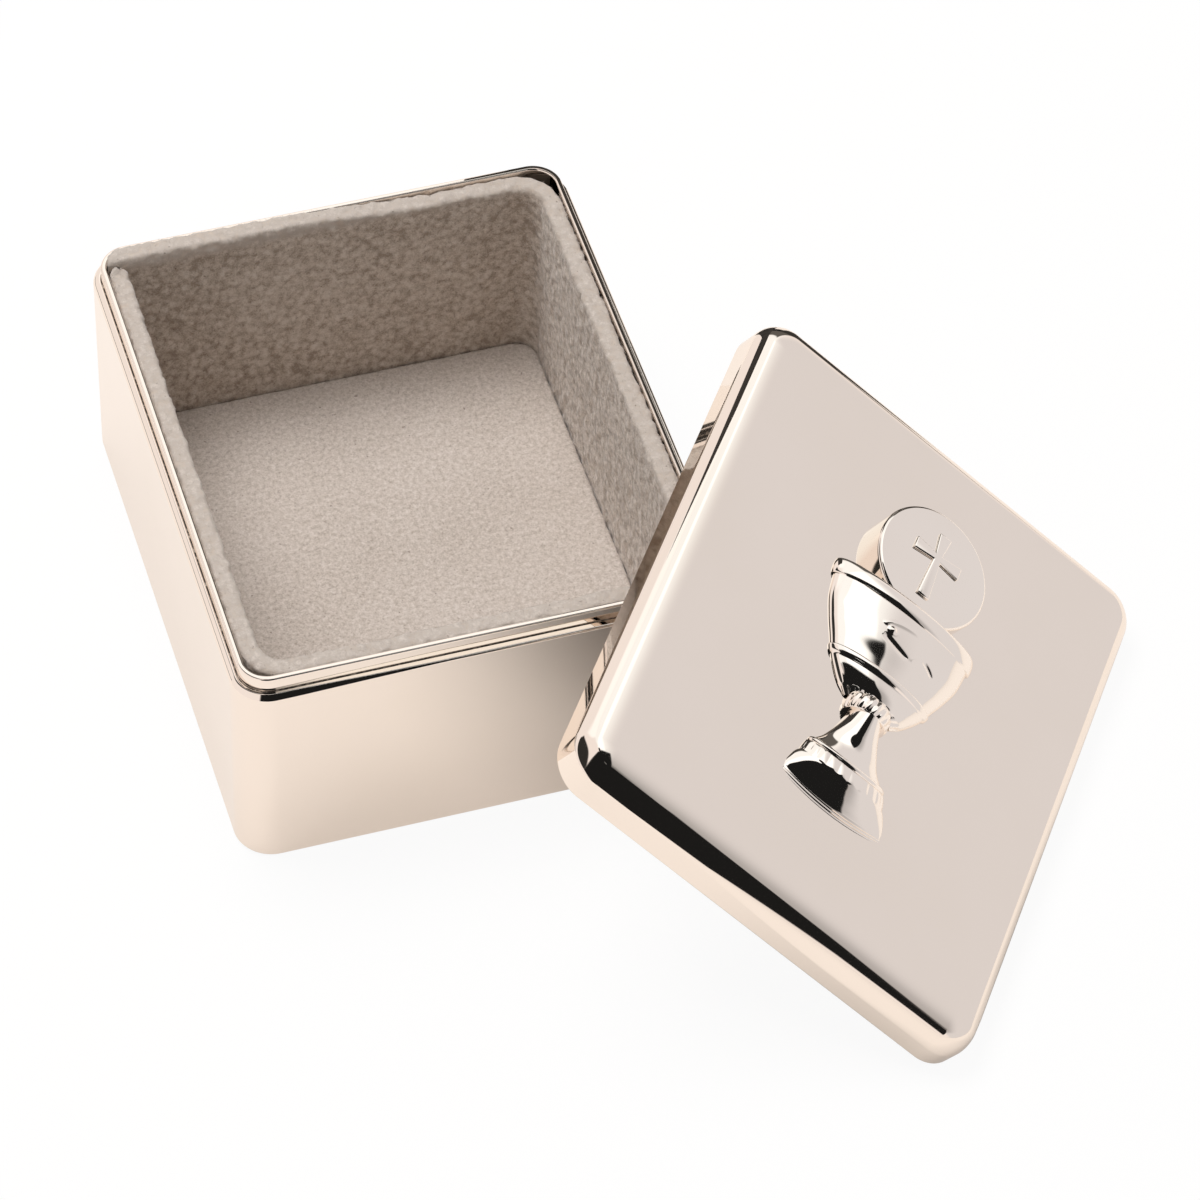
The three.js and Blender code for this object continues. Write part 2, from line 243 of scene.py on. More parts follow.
def profile_normals(profile, closed):
    """For each edge of the profile, the normals at its two ends: rounded stretches are smooth,
    long flat stretches keep their own normal and sharp bends stay sharp."""
    points = np.array(profile, float)
    following = np.roll(points, -1, axis=0) - points
    lengths = np.maximum(np.linalg.norm(following, axis=1), 1e-9)
    edge = np.stack([following[:, 1], -following[:, 0]], axis=1) / lengths[:, None]
    count = len(points) if closed else len(points) - 1

    def shared(before, after):
        a, b = edge[before], edge[after]
        if a @ b < math.cos(SHARP_BEND):
            return a, b
        if lengths[before] > FLAT_RATIO * lengths[after]:
            return a, a
        if lengths[after] > FLAT_RATIO * lengths[before]:
            return b, b
        mean = (a + b) / np.linalg.norm(a + b)
        return mean, mean

    starts, ends = edge.copy(), edge.copy()
    for k in range(0 if closed else 1, count):
        last = (k - 1) % len(points)
        ends[last], starts[k] = shared(last, k)
    return starts[:count], ends[:count]


def between(table, place):
    """Reads a table of (place, value) rows, with straight lines between them."""
    places, values = zip(*table)
    return float(np.interp(place, places, values))


def eased(value, low, high):
    """0 below low and 1 above high, with a smooth rise between them."""
    share = min(1.0, max(0.0, (value - low) / (high - low)))
    return share * share * (3 - 2 * share)


def quads(count, levels, corners=((0, 0), (0, 1), (1, 1), (1, 0)), closed=False):
    """Faces between neighbouring levels of count vertices. Each corner of a face says whether it
    is on the next level, and whether it is the next vertex there."""
    return [
        tuple((k + up) % levels * count + (j + side) % count for up, side in corners)
        for k in range(levels if closed else levels - 1)
        for j in range(count)
    ]


def cap(count, start, back=False):
    """One face on the count vertices from start on, or on the same ones in reverse."""
    return [start + (count - 1 - k if back else k) for k in range(count)]


def add_mesh(name, vertices, faces, normals=None, smooth=True):
    mesh = bpy.data.meshes.new(name)
    mesh.from_pydata([tuple(v) for v in np.asarray(vertices) * MM], [], faces)
    mesh.polygons.foreach_set("use_smooth", [smooth] * len(mesh.polygons))
    mesh.update()
    if normals is not None:
        mesh.normals_split_custom_set([tuple(n) for n in normals])
    piece = bpy.data.objects.new(name, mesh)
    bpy.context.scene.collection.objects.link(piece)
    return piece


def sweep(name, profile_at, corner_steps=20, closed=True, spacing=None):
    """A profile of (outward, height) points swept round the outline. The profile may change along
    the way. An open profile is closed by a flat face at each end."""
    marks = outline(corner_steps, spacing)
    count = len(marks)
    base, flat = ring(marks, 0)
    profiles = [profile_at(*place) for place in base]
    bends = [profile_normals(profile, closed) for profile in profiles]
    levels = len(profiles[0])
    vertices, normals = [], []
    for k in range(levels):
        for profile, mark in zip(profiles, marks):
            out, height = profile[k]
            (place,), _ = ring([mark], out)
            vertices.append((*place, height))
    for k in range(len(bends[0][0])):
        for j in range(count):
            n = (j + 1) % count
            for at, end in ((j, 0), (n, 0), (n, 1), (j, 1)):
                outward, upward = bends[at][end][k]
                normals.append((*(flat[at] * outward), upward))
    faces = quads(count, levels, closed=closed)
    if not closed:
        faces += [cap(count, (levels - 1) * count), cap(count, 0, back=True)]
        normals += [(0, 0, 1)] * count + [(0, 0, -1)] * count
    return add_mesh(name, vertices, faces, normals)


# Nodes


def nodes_of(owner):
    """The emptied node tree of a material or the world."""
    owner.use_nodes = True
    owner.node_tree.nodes.clear()
    return owner.node_tree


def add(tree, kind, inputs=None, **settings):
    """A new node. An input is a value or another node's output."""
    node = tree.nodes.new(kind)
    for key, value in settings.items():
        setattr(node, key, value)
    for key, value in (inputs or {}).items():
        if isinstance(value, bpy.types.NodeSocket):
            tree.links.new(value, node.inputs[key])
        else:
            node.inputs[key].default_value = value
    return node


def new_material(name):
    """A material, its empty node tree and the object coordinates in it."""
    material = bpy.data.materials.new(name)
    tree = nodes_of(material)
    return material, tree, add(tree, "ShaderNodeTexCoord").outputs["Object"]


def show(tree, shader, kind="ShaderNodeOutputMaterial"):
    """Joins a shader to the tree's output."""
    add(tree, kind, {"Surface": shader.outputs[0]})


def calc(tree, operation, *values):
    """The result of a Math node."""
    return add(tree, "ShaderNodeMath", dict(enumerate(values)), operation=operation).outputs[0]


def ramp(tree, value, stops):
    node = add(tree, "ShaderNodeValToRGB", {"Fac": value})
    elements = node.color_ramp.elements
    while len(elements) < len(stops):
        elements.new(0.5)
    for element, (place, colour) in zip(elements, stops):
        element.position = place
        element.color = (*colour, 1.0)
    return node.outputs["Color"]


def toned(tree, value, width, dark, middle, light):
    """A ramp of three colours about 0.5."""
    return ramp(tree, value, [(0.5 - width, dark), (0.5, middle), (0.5 + width, light)])


def blended(tree, share, below, above, **settings):
    """One colour laid over another."""
    inputs = {"Factor": share, 6: below, 7: above}
    return add(tree, "ShaderNodeMix", inputs, data_type="RGBA", **settings).outputs[2]


def spread(tree, value, low, high):
    """A value from 0 to 1, mapped to the range from low to high."""
    node = add(tree, "ShaderNodeMapRange", {"Value": value, "To Min": low, "To Max": high})
    return node.outputs["Result"]


def rise(tree, value, low, high, least=0.0):
    """Least up to low and 1 from high on, with a smooth rise between them."""
    inputs = {"Value": value, "From Min": low, "From Max": high, "To Min": least}
    node = add(tree, "ShaderNodeMapRange", inputs, interpolation_type="SMOOTHSTEP")
    return node.outputs["Result"]


def both(tree, *masks):
    """The product of masks."""
    result = masks[0]
    for mask in masks[1:]:
        result = calc(tree, "MULTIPLY", result, mask)
    return result


def noise_of(tree, where, scale, detail=3.0, roughness=0.5):
    """Noise whose scale is in waves per metre."""
    inputs = {"Vector": where, "Scale": scale, "Detail": detail, "Roughness": roughness}
    return add(tree, "ShaderNodeTexNoise", inputs).outputs["Fac"]


def bumped(tree, height, strength, distance, below=None):
    """A bump's normal, which may stand on that of another bump."""
    inputs = {"Height": height, "Strength": strength, "Distance": distance * MM}
    if below is not None:
        inputs["Normal"] = below
    return add(tree, "ShaderNodeBump", inputs).outputs["Normal"]


def glow(tree, colour, strength=1.0, kind="ShaderNodeEmission"):
    return add(tree, kind, {"Color": colour, "Strength": strength})


def mixed(tree, share, first, second):
    inputs = {"Fac": share, 1: first.outputs[0], 2: second.outputs[0]}
    return add(tree, "ShaderNodeMixShader", inputs)


def rays(tree):
    """Whether a ray comes from the camera, and whether from metal or glass."""
    light = add(tree, "ShaderNodeLightPath").outputs
    shiny = calc(tree, "MAXIMUM", light["Is Glossy Ray"], light["Is Transmission Ray"])
    return light["Is Camera Ray"], shiny


# Materials

BROAD_SHARE = 0.25
# Painted shade in the gaps between the wall's pebbles, and painted light on their tops
PEBBLE_GAP_SHADE = -0.18
PEBBLE_TOP_LIGHT = 0.085
# Painted light on the wall's top band: how far its tones spread, and how much paler its light tone
# is
LIT_TOP_WIDTH = 1.4
LIT_TOP_PALER = 1.25


def plated(name, tint, worn, smoothness, wave):
    """Bright plating: a warm tint that drifts a little, faint haze, and the slight wave of
    pressed sheet."""
    material, tree, where = new_material(name)
    drift = noise_of(tree, where, 55.0)
    haze = noise_of(tree, where, 420.0, 6.0, 0.6)
    swell = bumped(tree, noise_of(tree, where, 38.0, 1.0), wave, 0.4)
    inputs = {
        "Base Color": ramp(tree, drift, [(0.35, worn), (0.65, tint)]),
        "Metallic": 1.0,
        "Roughness": spread(tree, haze, *smoothness),
        "Normal": bumped(tree, noise_of(tree, where, 2600.0, 2.0), wave, 0.0015, swell),
    }
    show(tree, add(tree, "ShaderNodeBsdfPrincipled", inputs))
    return material


def tarnished_with_shade(name):
    """Tarnish and painted shade in dark brown, with bits of bright metal left between."""
    material, tree, where = new_material(name)
    patches = noise_of(tree, where, 1500.0, 4.0, 0.65)
    inputs = {
        "Base Color": ramp(tree, patches, [(0.5, (0.05, 0.04, 0.032)), (0.66, (0.5, 0.43, 0.37))]),
        "Metallic": 0.35,
        "Roughness": spread(tree, patches, 0.55, 0.3),
    }
    show(tree, add(tree, "ShaderNodeBsdfPrincipled", inputs))
    return material


def flocked(name, tones, lump, contrast, lit_top_tone=None):
    """Short nap: mottled tufts in their own tones, with painted shade in the hollows between them,
    stray dark and pale fibres, and the pale sheen of fibre ends. On the wall it is pebbled, with
    painted light on the pebbles' tops and painted shade between them, and its top band is painted
    paler and even as painted light."""
    material, tree, where = new_material(name)
    tufts = noise_of(tree, where, 1 / (lump * MM), 4.0, 0.62)
    fibres = noise_of(tree, where, 5200.0, 3.0, 0.7)
    broad = calc(tree, "MULTIPLY", noise_of(tree, where, 60.0, 2.0), BROAD_SHARE)
    summed = calc(tree, "ADD", calc(tree, "ADD", tufts, fibres), broad)
    share = calc(tree, "DIVIDE", summed, 2 + BROAD_SHARE)
    if lit_top_tone:
        inputs = {"Vector": where, "Scale": 1 / (PEBBLE * MM)}
        cells = add(tree, "ShaderNodeTexVoronoi", inputs).outputs["Distance"]
        # Painted light on the pebbles' tops and painted shade between them
        pebble_light_and_shade = calc(tree, "MULTIPLY_ADD", cells, PEBBLE_GAP_SHADE, PEBBLE_TOP_LIGHT)
        share = calc(tree, "ADD", share, pebble_light_and_shade)
        tufts = calc(tree, "MULTIPLY_ADD", cells, -1.0, tufts)
    # Own mottled tones, with painted shade where the nap is lowest
    colour = toned(tree, share, contrast, *tones)
    # Painted light: the wall's top band is paler and has no dark hollows
    if lit_top_tone:
        paler = tuple(LIT_TOP_PALER * value for value in lit_top_tone)
        pale = toned(tree, share, LIT_TOP_WIDTH * contrast, tones[1], lit_top_tone, paler)
        height = add(tree, "ShaderNodeSeparateXYZ", {0: where}).outputs["Z"]
        lit_top_share = rise(tree, height, LIT_TOP_FROM * MM, LIT_TOP_TO * MM)
        colour = blended(tree, lit_top_share, colour, pale)
    flecks = noise_of(tree, where, 1900.0, 1.0)
    fleck = ramp(tree, flecks, [(0.2, (0.55, 0.52, 0.5)), (0.25, (1.0, 1.0, 1.0))])
    inputs = {
        "Base Color": blended(tree, 1.0, colour, fleck, blend_type="MULTIPLY"),
        "Roughness": 0.95,
        "Specular IOR Level": 0.1,
        "Sheen Weight": 0.35,
        "Sheen Roughness": 0.5,
        "Normal": bumped(tree, fibres, 0.6, 0.08, bumped(tree, tufts, 0.55, 0.22)),
    }
    show(tree, add(tree, "ShaderNodeBsdfPrincipled", inputs))
    return material


def card(name):
    """Grey card with its short fibres."""
    material, tree, where = new_material(name)
    pulp = noise_of(tree, where, 900.0, 6.0, 0.7)
    inputs = {
        "Base Color": ramp(tree, pulp, [(0.3, (0.2, 0.17, 0.14)), (0.7, (0.36, 0.31, 0.27))]),
        "Roughness": 0.92,
        "Normal": bumped(tree, pulp, 0.4, 0.05),
    }
    show(tree, add(tree, "ShaderNodeBsdfPrincipled", inputs))
    return material


def dress(piece, material):
    piece.data.materials.clear()
    piece.data.materials.append(material)


def place_piece(piece, body, material, slot, *nodes):
    """Dresses a piece, lets it ride on a body and hides the CAD nodes that it stands for. The slot
    is not used."""
    dress(piece, material)
    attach(piece, body)
    if nodes:
        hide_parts(*nodes)


SILVER = ((0.93, 0.85, 0.775), (0.915, 0.835, 0.755))
CASTING = ((0.95, 0.885, 0.82), (0.93, 0.86, 0.79))
DULL = ((0.8, 0.74, 0.68), (0.72, 0.66, 0.6))
WALL_TONES = ((0.35, 0.28, 0.225), (0.555, 0.47, 0.4), (0.7, 0.62, 0.55))
PAD_TONES = ((0.4, 0.34, 0.29), (0.58, 0.505, 0.45), (0.72, 0.65, 0.6))

sheet_silver = plated("sheet_silver", *SILVER, (0.012, 0.03), 0.05)
lid_silver = plated("lid_silver", *SILVER, (0.03, 0.05), 0.04)
cast_silver = plated("cast_silver", *CASTING, (0.02, 0.06), 0.08)
dull_silver = plated("dull_silver", *DULL, (0.22, 0.38), 0.2)
# Tarnish with painted shade, for the joint at the neck
seam_tarnish_and_shade = tarnished_with_shade("seam_tarnish_and_shade")
# The wall's nap, with its top band painted paler as painted light
nap = flocked("nap", WALL_TONES, 0.8, 0.11, lit_top_tone=(0.505, 0.443, 0.395))
pad_nap = flocked("pad_nap", PAD_TONES, 0.5, 0.13)
grey_card = card("grey_card")


# Box metal


def shoulder_profile(x, y):
    """The shoulder's outer edge: a round one, which turns at the front left corner into a slanting
    cut that narrows along the front."""
    radius = LEFT_FILLET + (SHOULDER_FILLET - LEFT_FILLET) * eased(x, *LEFT_END)
    rounded = np.array(arc((-radius, SHOULDER_Z - radius), radius, 0, 90, 16))
    cut, small = between(FRONT_CHAMFER, x), between(FRONT_ROUND, x)
    tilt, length = math.radians(CHAMFER_TILT), cut * CHAMFER_LENGTH
    lower = arc((-small, 0), small, 0, 90 - CHAMFER_TILT, 5)
    upper = arc((-small, 0), small, 90 - CHAMFER_TILT, 90, 10)
    slanted = np.array(lower + upper)
    slanted[len(lower) :] += (-length * math.cos(tilt), length * math.sin(tilt))
    slanted[:, 1] += SHOULDER_Z - slanted[-1][1]
    return rounded + (slanted - rounded) * eased(-y, FRONT_START, FRONT_FULL)


def make_shell():
    foot = arc((-FOOT_FILLET, FOOT_FILLET), FOOT_FILLET, -90, 0, 12)
    inner = -SHELL_WALL + SEAM_ROUND
    top = arc((inner, SHOULDER_Z - SEAM_ROUND), SEAM_ROUND, 90, 180, 4) + [(-SHELL_WALL, 0)]

    def profile(x, y):
        return foot + [tuple(place) for place in shoulder_profile(x, y)] + top

    piece = sweep("shell", profile, spacing=SHELL_SPACING)
    place_piece(piece, "base", sheet_silver, "plated_metal", "base_shell")


def make_neck():
    outer = -NECK_INSET
    inner = outer - NECK_THICKNESS
    lip = NECK_TOP - LIP_RADIUS
    profile = [(outer, NECK_BOTTOM)]
    profile += arc((outer - LIP_RADIUS, lip), LIP_RADIUS, 0, 90, 10)
    profile += arc((inner + LIP_RADIUS, lip), LIP_RADIUS, 90, 180, 10)
    profile += [(inner, NECK_BOTTOM)]
    piece = sweep("neck", lambda x, y: profile)
    place_piece(piece, "base", sheet_silver, "plated_metal", "neck_collar")


def make_seam():
    """Tarnish and painted shade darken the joint between the shoulder and the neck."""
    outer = -NECK_INSET + SEAM_CLEAR
    inner = outer - SEAM_REACH
    low, high = SHOULDER_Z - SEAM_DEPTH, SHOULDER_Z - SEAM_CLEAR
    profile = [(inner, low), (outer + 2 * SEAM_GAP, low), (outer + SEAM_GAP, high)]
    profile += [(inner, high + SEAM_LIP)]
    piece = sweep("seam", lambda x, y: profile)
    place_piece(piece, "base", seam_tarnish_and_shade, "plated_metal")


# Lining


def wander(point, size, seed):
    """Smooth noise from -1 to 1 at a point in millimetres."""
    return noise.noise(Vector((point[0] / size + seed, point[1] / size, point[2] / size - seed)))


def nap_depth(point, pebbles):
    """How far the nap stands out at a point: lumps about a millimetre wide with finer tufts, and
    rounder pebbles where it is coarse."""
    lumps = wander(point, NAP_LUMP, LUMP_SEED)
    tufts = wander(point, NAP_LUMP / 3, TUFT_SEED)
    nearest = noise.voronoi(point / PEBBLE)[0][0] if pebbles else PEBBLE_LEVEL
    return NAP_HEIGHT * (lumps + TUFT_SHARE * tufts + pebbles * (PEBBLE_LEVEL - nearest))


def napped(piece, depth=1.0, pebbles=0.0):
    """Moves each vertex of a piece along its normal by the nap."""
    mesh = piece.data
    moved = [v.co + v.normal * nap_depth(v.co / MM, pebbles) * depth * MM for v in mesh.vertices]
    for vertex, place in zip(mesh.vertices, moved):
        vertex.co = place
    mesh.update()


def spaced(profile, step):
    """A profile with points added so that no edge is longer than a step."""
    dense = []
    for here, there in zip(profile, profile[1:] + profile[:1]):
        count = max(1, math.ceil(math.dist(here, there) / step))
        for k in range(count):
            dense.append(tuple(a + (b - a) * (k / count) for a, b in zip(here, there)))
    return dense


def strip(name, profile, path):
    """A closed profile swept along an open run of the lining's outline, with both ends capped.
    The path gives the outline's marks for a distance outwards, so the ends can be shaped."""
    count = len(profile)
    columns = [ring(path(out), out, LINING_RADIUS)[0] for out, _ in profile]
    length = len(columns[0])
    vertices = []
    for j in range(length):
        vertices += [(*column[j], height) for column, (_, height) in zip(columns, profile)]
    faces = quads(count, length, ((0, 0), (1, 0), (1, 1), (0, 1)))
    faces += [cap(count, 0), cap(count, (length - 1) * count, back=True)]
    return add_mesh(name, vertices, faces)


def lining_path():
    """The strip's path. It starts on the left wall, just before the back strip, runs forward and
    round, and ends in the back left corner, cut to the neck's curve."""
    marks = outline(14, NAP_SPACING, LINING_RADIUS)
    left = next(k for k, mark in enumerate(marks) if mark[:2] == (1, math.pi))
    back = next(k for k, mark in enumerate(marks) if mark[0] == 1)
    run = marks[left:] + marks[:back]
    side, rear = 2 * (HALF_Y - LINING_RADIUS), 2 * (HALF_X - LINING_RADIUS)
    start = LINING_RADIUS - WALL_INSET - LINING_THICKNESS - STRIP_GAP
    neck_radius = CORNER_RADIUS - (NECK_INSET + NECK_THICKNESS + SEAM_GAP)
    steps = STRIP_END_STEPS

    def marks_at(out):
        across = 2 * (out + WALL_INSET + LINING_THICKNESS / 2) / LINING_THICKNESS
        first = start - STRIP_END_ROUND * across**2
        inside = max(0.0, out + CORNER_RADIUS)
        chord = math.sqrt(max(neck_radius**2 - inside**2, 0.0))
        reach = chord + LINING_RADIUS - CORNER_RADIUS
        lead = [(1, math.pi, -first * k / steps / side) for k in range(steps, 0, -1)]
        tail = [(0, math.pi / 2, 1 + reach * k / steps / rear) for k in range(steps + 1)]
        return lead + run + tail

    return marks_at


def wall_profile(step):
    """The cloth's cross section over the card's face and top, in edges no longer than a step."""
    outer = -WALL_INSET
    card_face = -(WALL_INSET + CARD_THICKNESS + SEAM_GAP)
    front_face = card_face - CLOTH_THICKNESS
    card_top = WALL_TOP - CLOTH_THICKNESS
    edge_z = WALL_TOP - LINING_EDGE
    top = arc((outer - LINING_EDGE, edge_z), LINING_EDGE, 0, 90, 4)
    top += arc((front_face + LINING_EDGE, edge_z), LINING_EDGE, 90, 180, 4)
    foot = [(front_face, WALL_BOTTOM), (card_face, WALL_BOTTOM), (card_face, card_top)]
    return spaced([(outer, card_top)] + top + foot, step)


def back_rise(x, y, z):
    """The back strip stands over the neck's lip, most at its left end."""
    leftwards = eased(-x, *BACK_RISE_LEFTWARDS)
    return BACK_RISE * leftwards * eased(y, *BACK_RISE_BACKWARDS) * eased(z, *BACK_RISE_UPWARDS)


def make_wall_lining():
    piece = strip("wall_nap", wall_profile(NAP_SPACING), lining_path())
    for vertex in piece.data.vertices:
        x, y, z = vertex.co / MM
        vertex.co.z = (z + back_rise(x, y, z)) * MM
    piece.data.update()
    napped(piece, pebbles=WALL_PEBBLES)
    place_piece(piece, "base", nap, "flocked_cloth", "wall_lining")


def unit(vectors):
    return vectors / np.linalg.norm(vectors, axis=1)[:, None]


def fibre_roots(random):
    """Where the loose fibres stand and which way is outward there: on the wall lining's rounded
    top, and more thinly on the faces below it."""
    path = lining_path()
    profile = np.array(wall_profile(FIBRE_ROW))
    top = profile[profile[:, 1] >= WALL_TOP - LINING_EDGE]
    middle = -(WALL_INSET + LINING_THICKNESS / 2)
    roots, outward = [], []
    for out, height in top:
        points, normals = ring(path(out), out, LINING_RADIUS)
        past_level = max(0.0, abs(out - middle) - TOP_LEVEL_HALF)
        away = np.sign(out - middle) * past_level * TOP_OUTWARD
        for k in random.choice(len(points) - 1, TOP_FIBRES, replace=False):
            x, y = points[k] + (points[k + 1] - points[k]) * random.random()
            roots.append((x, y, height + back_rise(x, y, height)))
            outward.append((*(normals[k] * away), 1.0))
    front = -(WALL_INSET + LINING_THICKNESS)
    points, normals = ring(path(front), front, LINING_RADIUS)
    for k in random.integers(0, len(points) - 1, FACE_FIBRES):
        height = WALL_BOTTOM + (WALL_TOP - LINING_EDGE - WALL_BOTTOM) * random.random()
        place = points[k] + (points[k + 1] - points[k]) * random.random()
        roots.append((*place, height))
        outward.append((*-normals[k], 0.0))
    return np.array(roots), unit(np.array(outward))


def make_wall_fibres():
    """Loose fibre ends: one thin triangle each, leaning a random way off the surface."""
    random, lean_random = (np.random.default_rng(seed) for seed in FIBRE_SEEDS)
    roots, outward = fibre_roots(random)
    count = len(roots)
    lengths = random.uniform(*FIBRE_LENGTH, count)
    lean = unit(outward + lean_random.normal(0, FIBRE_LEAN, (count, 3)))
    side = unit(np.cross(lean, lean_random.normal(0, 1, (count, 3)))) * FIBRE_WIDTH / 2
    roots = roots - outward * FIBRE_ROOT
    tips = roots + lean * lengths[:, None]
    vertices = np.stack([roots - side, roots + side, tips], axis=1).reshape(-1, 3)
    faces = [(k, k + 1, k + 2) for k in range(0, 3 * count, 3)]
    piece = add_mesh("wall_fibres", vertices, faces, smooth=False)
    place_piece(piece, "base", nap, "flocked_cloth")


def make_pad(name, inset, corner, low, high):
    """A cloth pad: a fine grid of rings with a rounded top edge, and a plain underside."""
    edge = LINING_EDGE
    marks = outline(10, PAD_SPACING, corner + inset)
    profile = [(-inset, low)] + arc((-inset - edge, high - edge), edge, 0, 90, 5)
    middle = HALF_X - inset - edge
    steps = round(middle / PAD_SPACING)
    for k in range(1, steps + 1):
        profile.append((-inset - edge - middle * k / steps * PAD_REACH, high))
    vertices = []
    for out, height in profile:
        points, _ = ring(marks, out, corner + inset, least=0.02)
        vertices += [(*place, height) for place in points]
    count, levels = len(marks), len(profile)
    faces = quads(count, levels) + [cap(count, (levels - 1) * count), cap(count, 0, back=True)]
    piece = add_mesh(name, vertices, faces)
    napped(piece, PAD_NAP)
    return piece


def make_floor_pad():
    piece = make_pad("floor_nap", PAD_INSET, PAD_CORNER, PAD_BOTTOM, PAD_TOP)
    place_piece(piece, "base", pad_nap, "flocked_cloth", "floor_lining")


# Lid


def lid_matrix():
    """Where the lid lies: its lower edge on the table, its lining on the neck's corner."""
    corner = CORNER_RADIUS - NECK_INSET
    x = HALF_X - NECK_INSET - corner + corner * math.cos(LEAN_HEADING)
    y = -(HALF_Y - NECK_INSET - corner) + corner * math.sin(LEAN_HEADING)
    rest = Vector((x, y, NECK_TOP))
    reach = 2 * HALF_X - LEAN_OVERHANG
    tilt = math.asin(NECK_TOP / math.hypot(UNDER_REST, reach)) - math.atan2(UNDER_REST, reach)
    turn = Matrix.Rotation(LEAN_HEADING, 4, "Z") @ Matrix.Rotation(tilt, 4, "Y")
    inside = Vector((LEAN_OVERHANG - HALF_X, LEAN_OFFSET, UNDER_REST))
    return Matrix.Translation((rest - turn @ inside) * MM) @ turn


LID = lid_matrix()


def lay_on_lid(piece, material, slot, *nodes):
    """Moves a mesh made in the lid's frame to where the lid lies, and lets it ride on the lid."""
    piece.data.transform(LID)
    place_piece(piece, "lid", material, slot, *nodes)


def lid_edge(small, width, cut):
    """The lid's edge from the wall up, which eases slowly into the flat plate. It is round, and
    what a small radius leaves of the width goes into a slanting stretch (cut 1) or a steep one
    (cut 0)."""
    slope = LID_BLEND_SLOPE
    steps = LID_EDGE_STEPS
    angles = np.radians(np.linspace(90, math.degrees(slope), steps * LID_EDGE_FINE + 1))
    middle = (angles[1:] + angles[:-1]) / 2
    turn = angles[:-1] - angles[1:]
    rest = width - small * (1 - math.sin(slope))
    radius = np.full(len(middle), small)
    for (low, high), share in ((SLANT, cut), (STEEP, 1 - cut)):
        inside = (middle > math.radians(low)) & (middle < math.radians(high))
        reach = np.sum(np.cos(middle[inside]) * turn[inside])
        radius[inside] += rest * share / reach
    out = -np.r_[0, np.cumsum(radius * np.cos(middle) * turn)][::LID_EDGE_FINE]
    height = np.r_[0, np.cumsum(radius * np.sin(middle) * turn)][::LID_EDGE_FINE]
    points = list(zip(out, height))
    length = LID_BLEND / math.cos(slope / 2) / steps
    x, z = points[-1]
    for k in range(1, steps + 1):
        angle = slope * (1 - (k - 0.5) / steps) ** 2
        x, z = x - length * math.cos(angle), z + length * math.sin(angle)
        points.append((x, z))
    lift = LID_HEIGHT - z
    return [(x, z + lift) for x, z in points]


def make_lid_shell():
    hollow = LID_WALL + LID_HOLLOW_FILLET
    inside = arc((-hollow, LID_CEILING - LID_HOLLOW_FILLET), LID_HOLLOW_FILLET, 90, 0, 10)
    inside += arc((-LID_WALL + LID_EDGE_ROUND, LID_EDGE_ROUND), LID_EDGE_ROUND, 180, 270, 5)
    inside += arc((-LID_EDGE_ROUND, LID_EDGE_ROUND), LID_EDGE_ROUND, 270, 360, 5)

    def profile(x, y):
        low = eased(-y, LID_LOW_FROM, LID_LOW_TO)
        small = LID_ROUND + (between(LID_LOW_ROUND, x) - LID_ROUND) * low
        width = LID_EDGE_WIDTH + (between(LID_LOW_WIDTH, x) - LID_EDGE_WIDTH) * low
        return inside + lid_edge(small, width, between(LID_LOW_CUT, x))

    piece = sweep("lid_shell_plated", profile, corner_steps=28, closed=False, spacing=2.0)
    lay_on_lid(piece, lid_silver, "plated_metal", "lid_shell")


def make_lid_pad():
    """The lid's lining, made face up and turned over."""
    low, high = -LID_CLOTH_HIGH, -LID_CLOTH_LOW
    piece = make_pad("lid_nap", LID_CLOTH_INSET, LID_CLOTH_CORNER, low, high)
    piece.data.transform(Matrix.Rotation(math.pi, 4, "X"))
    lay_on_lid(piece, pad_nap, "flocked_cloth", "lid_lining")


# Emblem. The chalice's stations run along the lid: place, half width, height, and how far the
# middle of the section bows down the lid
RIM_MIDDLE = 8.65
RIM_ROLL = 1.0
RIM = (9.4, 2.5, 0.3)
BOWL = [
    (7.75, 9.0, 2.35, 0.3),
    (5.4, 8.7, 2.22, 0.25),
    (2.9, 7.85, 2.04, 0.15),
    (0.8, 6.9, 1.855, 0.05),
    (-1.0, 6.1, 1.71, 0.0),
    (-2.4, 5.2, 1.62, -0.2),
    (-3.6, 4.2, 1.42, -0.55),
    (-4.5, 3.1, 1.1, -0.9),
]
BAND_TOP = -0.05
BAND_FOOT = -0.95
BAND_RISE = 0.24
KNOP_TOP = -3.6
KNOP_FOOT = -5.8
KNOP = (2.8, 2.35, 0.15)
KNOP_RIBS = 9
KNOP_RIB_DEPTH = 0.1
KNOP_TWIST = 2.4
KNOP_MARGIN = 0.15
STEM = [
    (-5.8, 1.95, 2.1, 0.0),
    (-7.0, 2.25, 1.88, 0.0),
    (-8.6, 2.8, 1.6, 0.1),
    (-10.2, 3.55, 1.35, 0.4),
    (-11.4, 4.5, 1.42, 0.75),
]
RING_TOP = -11.45
RING_FOOT = -12.15
RING = (5.0, 1.82, 0.8)
BEADS_TOP = -12.15
BEADS_FOOT = -13.7
BEADS = (5.15, 1.7, 0.82)
BEADS_GROWTH = (0.35, 0.0, 0.05)
BEADS_MARGIN = 0.04
BEAD_COUNT = 12
BEAD_RISE = 0.07
BEVEL = [
    (-13.75, 5.6, 1.66, 0.88),
    (-13.95, 5.75, 1.6, 0.9),
    (-15.0, 6.2, 1.15, 0.95),
    (-16.0, 6.4, 0.65, 0.9),
    (-16.35, 6.4, 0.48, 0.85),
]
FOOT_LINES = [
    (-16.42, 6.4, 0.42, 0.85),
    (-16.64, 6.45, 0.4, 0.85),
    (-16.66, 6.45, 0.27, 0.85),
    (-16.88, 6.5, 0.25, 0.85),
    (-16.9, 6.5, 0.12, 0.85),
    (-17.15, 6.55, 0.1, 0.85),
]
SECTION_STEPS = 132

